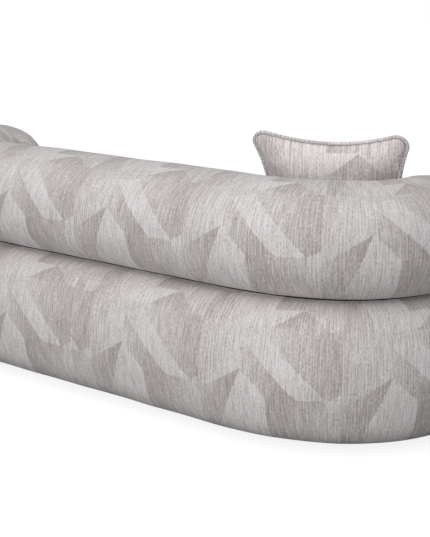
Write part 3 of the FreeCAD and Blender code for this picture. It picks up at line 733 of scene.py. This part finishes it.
class SOFA_OT_base(bpy.types.Operator):
    """Make the padded side of the base"""

    bl_idname = "sofa.base"
    bl_label = "Base"

    def execute(self, context):
        """Carry the base's section, with a thin lip under the roll and an upright behind, round the plan."""
        g = outline_of(context.scene.sofa_sizes)
        look = context.scene.sofa_upholstery
        spots, normals, stops = chain(g.base_arcs, look.mesh_step)
        lip = np.array([g.shoulder, g.roll_base]) + np.array(LIP)
        behind = np.linspace(0.0, 1.0, WALL_POINTS)[1:-1, None]
        wall = np.concatenate([lip, spots[-1] + (spots[0] - spots[-1]) * behind])
        wall_run = stops[-1] + LIP_DEPTH + run_of(np.concatenate([spots[-1:], wall]))[1:]
        bends, flip_x, flip_y, run, whole = ring_of(g, BASE_STATIONS, 0.0)
        far, up, turn = run[:, None], stops[None, :], bends[3][:, None]
        at_back = flip_y[:, None] > 0.0
        free = 1.0 - bump_at(up, stops[-1], EDGE_CALM) - bump_at(up, 0.0, EDGE_CALM)
        pucker = np.abs(swells(*BASE_PUCKER, far + GATHER_SLANT * up)) - PUCKER_LEVEL
        pucker = pucker * bump_at(stops[-1] - up, *PUCKER_DROP) * bump_at(turn, *PUCKER_TURN) * at_back
        lift = look.softness * swells(*BASE_SWELL, far, up) * free + PUCKER_SHARE * look.gathers * pucker
        lift = lift - look.crease * creases(far - whole, up, BASE_CREASES)
        sides = swept(bends, flip_x, flip_y, spots, normals, lift)
        back = swept(bends, flip_x, flip_y, wall, wall * 0.0, np.zeros((len(run), 1)))
        points = np.concatenate([sides, back], axis=1)
        points = np.concatenate([points, points[:1]])
        rows, columns = points.shape[:2]
        up_way = np.concatenate([stops, wall_run, [wall_run[-1] + WALL_CLOSE]])
        cloth = corners_of(grid_of(np.append(run, whole), up_way))
        # Painted shade: the lip and the hidden wall behind it, along the back half where the roll sits, are
        # marked to be painted near black
        tuck = (np.arange(columns) >= len(stops)) & np.concatenate([at_back, at_back[:1]])
        quads = quads_of(rows, columns, True)
        piece = make_piece("base_upholstery", points, quads, cloth, "upholstery cloth", tuck)
        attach(piece, "sofa")
        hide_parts("base_cover", *FOAM_OF_BASE)
        return {"FINISHED"}


class SOFA_OT_seat(bpy.types.Operator):
    """Make the crowned seat panel"""

    bl_idname = "sofa.seat"
    bl_label = "Seat"

    def execute(self, context):
        """Fill the plan inside the shoulder with rows across it, raise each point to the crown by its reach,
        press it down under the roll, and close it below with a flat of the same outline."""
        g = outline_of(context.scene.sofa_sizes)
        look = context.scene.sofa_upholstery
        x, y = plan_grid(g, *SEAT_GRID, g.half_depth + g.shoulder, g.shoulder)
        reach = np.minimum(reach_of(g, x, y), g.shoulder)
        fall = np.sqrt(g.crown ** 2 - np.maximum(reach - g.crown_reach, 0.0) ** 2)
        height = g.crown_height - g.crown + fall
        edge = g.shoulder - reach
        height = height + look.softness * swells(*SEAT_SWELL, x, y) * (1.0 - bump_at(edge, 0.0, EDGE_CALM))
        height = height - look.seam_depth * bump_at(edge, 0.0, look.seam_width)
        offset = np.where(y > 0.0, reach - g.roll_reach, np.hypot(np.abs(x) - g.arm_x, y))
        beyond = np.clip(np.abs(offset) - g.roll_flat, 0.0, g.roll_foot)
        under = g.roll_base + g.roll_foot - np.sqrt(g.roll_foot ** 2 - beyond ** 2) - SEAT_PRESS
        top = np.where(np.abs(offset) < g.roll_half, np.minimum(height, under), height)
        top = np.stack([x, y, top], axis=2)
        floor = np.stack([x, y, 0.0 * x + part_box("seat_foam")[0].z], axis=2)
        rows, columns = x.shape
        quads = quads_of(rows, columns)
        below = quads[:, ::-1] + rows * columns
        index = np.arange(rows * columns).reshape(rows, columns)
        rim = np.concatenate([index[0], index[1:, -1], index[-1, -2::-1], index[-2:0:-1, 0]])
        after = np.roll(rim, -1)
        skirt = np.stack([after, rim, rim + rows * columns, after + rows * columns], axis=1)
        points = np.concatenate([top.reshape(-1, 3), floor.reshape(-1, 3)])
        faces = np.concatenate([quads, below, skirt])
        cloth = points[faces][:, :, :2]
        piece = make_piece("seat_upholstery", points, faces, cloth, "upholstery cloth")
        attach(piece, "sofa")
        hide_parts("seat_cover", "seat_foam")
        return {"FINISHED"}


class SOFA_OT_roll(bpy.types.Operator):
    """Make the back roll with its domed arm ends"""

    bl_idname = "sofa.roll"
    bl_label = "Back roll"

    def execute(self, context):
        """Carry the closed roll section along the plan. Each arm's end goes on as a half turn: the section's
        offsets shrink with the cosine of a turn while the points move forward with its sine."""
        g = outline_of(context.scene.sofa_sizes)
        look = context.scene.sofa_upholstery
        spots, normals, stops = chain(g.roll_arcs, look.mesh_step)
        flat = spots[-1] + (spots[0] - spots[-1]) * np.linspace(0.0, 1.0, FLAT_POINTS)[1:-1, None]
        profile = np.concatenate([spots, flat]) + np.array([g.roll_reach, 0.0])
        outward = np.concatenate([normals, flat * 0.0])
        up_way = np.concatenate([stops, stops[-1] + np.hypot(*(flat - spots[-1]).T)])
        quarter = quarter_length(g, CLOTH_REACH)
        fine = np.linspace(0.0, 1.0, ROLL_STATIONS)
        along = quarter * (fine + STATION_EASE * np.sin(2.0 * np.pi * fine) / (2.0 * np.pi))
        run = np.concatenate([-along[:0:-1], along])
        bends = stations(g, np.abs(run), CLOTH_REACH)
        side = np.where(run < 0.0, -1.0, 1.0)
        far, up, turn = run[:, None], up_way[None, :], bends[3][:, None]
        crest = stops[-1] / 2.0
        seam = crest + SEAM_PAST_CREST
        lift = look.softness * swells(*ROLL_SWELL, far, up) * (1.0 - bump_at(up, *FOOT_CALM))
        pleat = np.abs(swells(*ROLL_PLEAT, far + GATHER_SLANT * side[:, None] * up)) - PLEAT_LEVEL
        lift = lift + look.gathers * pleat * bump_at(up, *PLEAT_UP) * bump_at(turn, *PLEAT_TURN)
        fold = FOLD_SHARE * swells(*ROLL_FOLD, far + FOLD_SLANT * up)
        lift = lift + look.gathers * fold * bump_at(stops[-1] - up, *FOLD_DROP) * bump_at(turn, *FOLD_TURN)
        lift = lift - look.groove_depth * bump_at(up, *GROOVE_UP)
        lift = lift - look.crease * creases(far, up, ROLL_CREASES)
        for gap in (up - seam, quarter - np.abs(far)):
            lift = lift - look.seam_depth * bump_at(gap, 0.0, look.seam_width)
        lift = lift * (np.abs(outward).sum(axis=1) > 0.0)
        sleeve = swept(bends, side, np.ones(len(run)), profile, outward, lift)
        spin = np.radians(np.linspace(0.0, 90.0, DOME_STATIONS))[1:, None]
        mirror = np.concatenate([np.arange(len(spots))[::-1], len(spots) + np.arange(len(flat))[::-1]])
        evening = np.sin(spin) ** 2 / 2.0
        ends = []
        for sign, edge in ((-1.0, sleeve[0]), (1.0, sleeve[-1])):
            offset = sign * edge[None, :, 0] - g.arm_x
            offset = offset - evening * (offset + offset[:, mirror])
            height = edge[None, :, 2] - evening * (edge[None, :, 2] - edge[None, mirror, 2])
            x = sign * (g.arm_x + offset * np.cos(spin))
            y = -np.abs(offset) * np.sin(spin)
            swell = look.softness * swells(*DOME_SWELL, x, y) * np.sin(spin)
            grow = 1.0 + swell / np.maximum(np.abs(offset), DOME_CORE)
            x = sign * (g.arm_x + offset * np.cos(spin) * grow)
            ends.append(np.stack([x, y * grow, height], axis=2))
        points = np.concatenate([ends[0][::-1], sleeve, ends[1]])
        rows, columns = points.shape[:2]

        wide = np.concatenate([points, points[:, :1]], axis=1)
        level = np.append(up_way, up_way[-1] + FLAT_CLOSE) + 0.0 * wide[:, :, 0]
        shrink = (bends[2] + g.roll_reach - INNER_SETBACK) / (bends[2] + CLOTH_REACH)
        shrink = np.where(np.abs(run) < g.straight, 1.0, shrink)
        inner = np.concatenate([[0.0], np.cumsum(np.diff(run) * (shrink[1:] + shrink[:-1]) / 2.0)])
        inner = inner - inner[len(inner) // 2]
        dome = len(spin)
        outside, inside = (
            corners_of(np.stack([np.pad(way, dome, mode="edge")[:, None] + 0.0 * level, level], axis=2))
            for way in (run, inner))
        rise = np.minimum(level, 2.0 * crest - np.minimum(level, 2.0 * crest)) - FRONT_SLANT * wide[:, :, 1]
        local = np.clip((np.abs(wide[:, :, 0]) - g.arm_x) / g.roll_half, -1.0, 1.0)
        front = corners_of(np.stack([g.roll_half * np.arcsin(local), rise], axis=2))
        middle = corners_of(level).mean(axis=2)
        row = np.arange(rows - 1)[:, None, None, None]
        is_front = (row < dome) | (row >= rows - 1 - dome)
        cloth = np.where(is_front, front, np.where((middle > seam)[..., None, None], inside, outside))
        quads = quads_of(rows, columns, True)
        piece = make_piece("roll_upholstery", points, quads, cloth, "upholstery cloth")
        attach(piece, "sofa")
        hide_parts("roll_cover", *FOAM_OF_ROLL)
        return {"FINISHED"}


def pillow_outline(look, grow, count):
    """Outline of the cushion: bowed sides and round corners of one quarter, turned four times, cut evenly."""
    half = look.size / 2.0 - 2.0 * look.piping_radius - SEAM_GAP
    ear = half - look.ear_radius
    bow = (ear ** 2 + look.draw ** 2) / (2.0 * look.draw) - look.ear_radius
    middle = half - look.draw + bow
    turn = np.degrees(np.arctan2(ear, middle - ear))
    arcs = (
        (middle, 0.0, bow - grow, 180.0 + turn, 180.0 - turn),
        (ear, ear, look.ear_radius + grow, -turn, 90.0 + turn),
    )
    quarter = chain(arcs, OUTLINE_STEP)[0]
    turned = np.stack([-quarter[:, 1], quarter[:, 0]], axis=1)
    loop = np.concatenate([quarter[:-1], turned[:-1], -quarter[:-1], -turned])
    run = run_of(loop)
    spots = cut(loop, run, np.linspace(0.0, run[-1], count, endpoint=False))
    return spots, half, run[-1]


def cushion_place(sizes, look, points):
    """The cushion's own points leaned back, turned and set down beside the arm's end."""
    g = outline_of(sizes)
    lean, yaw = look.lean, look.yaw
    tilt = np.array([[1.0, 0.0, 0.0], [0.0, np.cos(lean), np.sin(lean)], [0.0, -np.sin(lean), np.cos(lean)]])
    spin = np.array([[np.cos(yaw), -np.sin(yaw), 0.0], [np.sin(yaw), np.cos(yaw), 0.0], [0.0, 0.0, 1.0]])
    seat = g.crown_height + sizes.contact_gap - look.settle
    middle = seat + look.piping_radius + (look.size / 2.0 - look.piping_radius) * np.cos(lean)
    drop = (middle - g.belt) * np.tan(lean)
    away = g.roll_half + look.gap
    edge = np.array([-g.arm_x + away * np.cos(look.bearing), away * np.sin(look.bearing), middle])
    shift = look.size / 2.0 - look.draw
    place = edge + spin[:, 0] * shift + spin[:, 1] * drop
    return points @ (spin @ tilt).T + place


def pillow_points(look):
    """Crowned pillow as rings, and half its width: each ring is the outline shrunk by a cosine and eased
    towards a circle, and its depth rises from the seam as a power of the sine."""
    rings, around = PILLOW_GRID
    spots, half, _ = pillow_outline(look, 0.0, around)
    turn = np.radians(np.linspace(0.0, POLE_TURN, rings))
    share = np.cos(turn)[:, None]
    far = np.hypot(spots[:, 0], spots[:, 1])[None, :]
    share = share * (share + (1.0 - share) * half / far)
    edge = look.edge_thickness / 2.0
    crown = look.thickness / 2.0
    depth = edge + (crown - edge) * np.sin(turn)[:, None] ** look.fullness
    across, up = spots[None, :, 0] * share, spots[None, :, 1] * share
    front = np.stack([across, depth + 0.0 * across, up], axis=2)
    back = np.stack([across, -depth + 0.0 * across, up], axis=2)
    return np.concatenate([front[::-1], back]), half


def puff_up(piece, look, half):
    """Inflate the cushion as cloth, held at its seam, and keep each point within the allowed swell."""
    remesh = piece.modifiers.new("remesh", "REMESH")
    remesh.mode = "VOXEL"
    remesh.voxel_size = VOXEL
    graph = bpy.context.evaluated_depsgraph_get()
    piece.data = bpy.data.meshes.new_from_object(piece.evaluated_get(graph))
    piece.modifiers.clear()
    mesh = piece.data
    start = points_of(mesh)
    free = half - np.maximum(np.abs(start[:, 0]), np.abs(start[:, 2]))
    free = np.clip(free / FREE_BAND, 0.0, 1.0)
    held = piece.vertex_groups.new(name="seam")
    held.add(np.flatnonzero(free < HELD_SHARE).tolist(), 1.0, "REPLACE")
    cloth = piece.modifiers.new("cloth", "CLOTH")
    cloth.settings.use_pressure = True
    cloth.settings.uniform_pressure_force = look.pressure
    cloth.settings.vertex_group_mass = "seam"
    cloth.settings.effector_weights.gravity = 0.0
    cloth.settings.tension_stiffness = TENSION
    cloth.settings.bending_stiffness = BENDING
    scene = bpy.context.scene
    for number in range(1, FRAMES + 1):
        scene.frame_set(number)
    puffed = piece.evaluated_get(bpy.context.evaluated_depsgraph_get())
    move = points_of(puffed.data) - start
    far = np.maximum(np.linalg.norm(move, axis=1), LEAST)
    move = move * np.minimum(1.0, look.swell * free / far)[:, None]
    piece.modifiers.clear()
    piece.vertex_groups.clear()
    scene.frame_set(1)
    set_points(mesh, start + move)


class SOFA_OT_cushion(bpy.types.Operator):
    """Make the scatter cushion and its piping"""

    bl_idname = "sofa.cushion"
    bl_label = "Scatter cushion"

    def execute(self, context):
        """Puff up the crowned pillow, lay the cloth flat over it, and run the cord round the outline as a
        circle carried along it, with a fine twist."""
        sizes = context.scene.sofa_sizes
        look = context.scene.sofa_cushion
        rings, half = pillow_points(look)
        quads = quads_of(*rings.shape[:2], True)
        piece = make_piece("cushion_pillow", rings, quads, None, "cushion cloth")
        mend(piece.data, close=True)
        puff_up(piece, look, half)
        mesh = piece.data
        own = points_of(mesh)
        index = np.empty(len(mesh.loops), np.int32)
        mesh.loops.foreach_get("vertex_index", index)
        set_cloth(mesh, own[index][:, [0, 2]] + np.array(CLOTH_START))
        set_points(mesh, cushion_place(sizes, look, own))
        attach(piece, "scatter_cushion")
        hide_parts("cushion_cover", "cushion_filling")

        stations_round, sides = CORD_GRID
        line, _, whole = pillow_outline(look, look.piping_radius + SEAM_GAP, stations_round)
        out = right_of(np.roll(line, -1, axis=0) - np.roll(line, 1, axis=0))
        spin = np.linspace(0.0, 2.0 * np.pi, sides, endpoint=False)[None, :]
        run = np.linspace(0.0, whole, stations_round, endpoint=False)[:, None]
        radius = look.piping_radius + TWIST_HEIGHT * np.sin(2.0 * np.pi * run / TWIST_PITCH + spin)
        x = line[:, :1] + out[:, :1] * radius * np.cos(spin)
        z = line[:, 1:] + out[:, 1:] * radius * np.cos(spin)
        tube = np.stack([x, radius * np.sin(spin), z], axis=2)
        tube = cushion_place(sizes, look, tube.reshape(-1, 3)).reshape(tube.shape)
        tube = np.concatenate([tube, tube[:1]])
        round_way = np.linspace(0.0, 2.0 * np.pi * look.piping_radius, sides + 1)
        cloth = corners_of(grid_of(np.append(run[:, 0], whole), round_way))
        quads = quads_of(stations_round + 1, sides, True)
        cord = make_piece("cushion_piping_cord", tube, quads, cloth, "cushion cloth")
        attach(cord, "scatter_cushion")
        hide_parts("cushion_piping")
        return {"FINISHED"}


class SOFA_OT_underside(bpy.types.Operator):
    """Make the dust cloth and finish the feet"""

    bl_idname = "sofa.underside"
    bl_label = "Underside"

    def execute(self, context):
        """Stretch a thin cloth over the plan inside the hem, sagging a little as a bowl away from its
        edge."""
        g = outline_of(context.scene.sofa_sizes)
        low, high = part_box("dust_cover")
        inset = high.y - g.half_depth
        x, y = plan_grid(g, *DUST_GRID, high.y, inset)
        edge = np.minimum(inset - reach_of(g, x, y), DUST_BAND) / DUST_BAND
        sag = DUST_SAG * np.maximum(edge, 0.0) ** 2 + DUST_RIPPLE * swells(*DUST_SWELL, x, y) * edge
        points = np.stack([x, y, high.z - DUST_LIE - sag], axis=2)
        quads = quads_of(*x.shape)[:, ::-1]
        cloth = points[..., :2].reshape(-1, 2)[quads]
        piece = make_piece("dust_cloth", points, quads, cloth, "underside cloth")
        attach(piece, "sofa")
        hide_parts("dust_cover")
        give_finish("moulded foot", "feet")
        return {"FINISHED"}


def give_finish(finish, *nodes):
    """Put a finish on solids that stay as they are."""
    for node in nodes:
        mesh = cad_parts[node].data
        mesh.materials.clear()
        mesh.materials.append(materials()[finish])


class SOFA_OT_frame(bpy.types.Operator):
    """Finish the hidden timber, webbing and screws"""

    bl_idname = "sofa.frame"
    bl_label = "Frame"

    def execute(self, context):
        """Give each hidden solid its own finish."""
        give_finish("frame timber", *TIMBER)
        give_finish("strap webbing", *WEBBING)
        give_finish("plated screw", "roll_screws")
        return {"FINISHED"}


class SOFA_OT_studio(bpy.types.Operator):
    """Make the floor, lamps and camera"""

    bl_idname = "sofa.studio"
    bl_label = "Studio"

    def execute(self, context):
        """Set a wide pale floor, a soft lamp before the back, one overhead and an even surround."""
        scene = context.scene
        look = scene.sofa_studio
        for name in ("Cube", "Light", "Camera"):
            if name in bpy.data.objects:
                bpy.data.objects.remove(bpy.data.objects[name])
        scene.view_settings.view_transform = "Standard"

        corners = np.array([[-1.0, -1.0, 0.0], [1.0, -1.0, 0.0], [1.0, 1.0, 0.0], [-1.0, 1.0, 0.0]])
        floor_material(look)
        floor = make_piece("floor", corners * FLOOR_HALF, np.array([[0, 1, 2, 3]]), None, "floor")

        add_lamp("key lamp", *KEY_LAMP, look.key_light)
        add_lamp("top lamp", *TOP_LAMP, look.top_light)

        world = bpy.data.worlds.new("surround")
        world.use_nodes = True
        tree = world.node_tree
        shade = tree.nodes["Background"]
        shade.inputs["Color"].default_value = (1.0, 1.0, 1.0, 1.0)
        seen = add_node(tree, "ShaderNodeLightPath").outputs["Is Camera Ray"]
        strength = blend(tree, "FLOAT", seen, look.surround, 1.0)
        tree.links.new(strength, shade.inputs["Strength"])
        scene.world = world

        lens = bpy.data.cameras.new("camera")
        lens.lens = look.lens
        lens.sensor_width = FILM
        camera = bpy.data.objects.new("camera", lens)
        camera.location = look.camera_place
        camera.rotation_euler = Vector(look.camera_aim).to_track_quat("-Z", "Y").to_euler()
        scene.collection.objects.link(camera)
        scene.camera = camera
        return {"FINISHED"}


def floor_material(look):
    """Pale floor that shows white to the camera, with its shade thinned there."""
    tree, shader = new_material("floor")
    shader.inputs["Roughness"].default_value = FLOOR_ROUGHNESS
    shader.inputs["Emission Color"].default_value = (1.0, 1.0, 1.0, 1.0)
    seen = add_node(tree, "ShaderNodeLightPath").outputs["Is Camera Ray"]
    tone = blend(tree, "RGBA", seen, (*look.floor, 1.0), FLOOR_SEEN)
    tree.links.new(tone, shader.inputs["Base Color"])
    tree.links.new(reckon(tree, "MULTIPLY", seen, FLOOR_GLOW), shader.inputs["Emission Strength"])


def add_lamp(name, place, aim, size, power):
    """A square soft lamp pointed at a place."""
    lamp = bpy.data.lights.new(name, "AREA")
    lamp.size = size
    lamp.energy = power
    piece = bpy.data.objects.new(name, lamp)
    piece.location = place
    piece.rotation_euler = (Vector(aim) - Vector(place)).to_track_quat("-Z", "Y").to_euler()
    bpy.context.scene.collection.objects.link(piece)


class SOFA_PT_panel(bpy.types.Panel):
    """Sizes, looks and the operators that make the sofa"""

    bl_idname = "SOFA_PT_panel"
    bl_label = "Curved sofa"
    bl_space_type = "VIEW_3D"
    bl_region_type = "UI"
    bl_category = "Sofa"

    def draw(self, context):
        """List the properties and the operators."""
        for group in GROUPS:
            settings = getattr(context.scene, group)
            for name in settings.__annotations__:
                self.layout.prop(settings, name)
        for operator in OPERATORS:
            self.layout.operator(operator.bl_idname)


GROUPS = {
    "sofa_sizes": SofaSizes,
    "sofa_upholstery": UpholsteryLook,
    "sofa_cushion": CushionLook,
    "sofa_studio": StudioLook,
}
OPERATORS = (
    SOFA_OT_studio,
    SOFA_OT_base,
    SOFA_OT_seat,
    SOFA_OT_roll,
    SOFA_OT_cushion,
    SOFA_OT_underside,
    SOFA_OT_frame,
)


def register():
    """Register the classes and put the settings on the scene."""
    for kind in (*GROUPS.values(), *OPERATORS, SOFA_PT_panel):
        bpy.utils.register_class(kind)
    for name, kind in GROUPS.items():
        setattr(bpy.types.Scene, name, bpy.props.PointerProperty(type=kind))


def unregister():
    """Take the settings off the scene and unregister the classes."""
    for name in GROUPS:
        delattr(bpy.types.Scene, name)
    for kind in (SOFA_PT_panel, *reversed(OPERATORS), *GROUPS.values()):
        bpy.utils.unregister_class(kind)


def main():
    """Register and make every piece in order."""
    register()
    bpy.ops.sofa.studio()
    bpy.ops.sofa.base()
    bpy.ops.sofa.seat()
    bpy.ops.sofa.roll()
    bpy.ops.sofa.cushion()
    bpy.ops.sofa.underside()
    bpy.ops.sofa.frame()


if __name__ == "__main__":
    main()
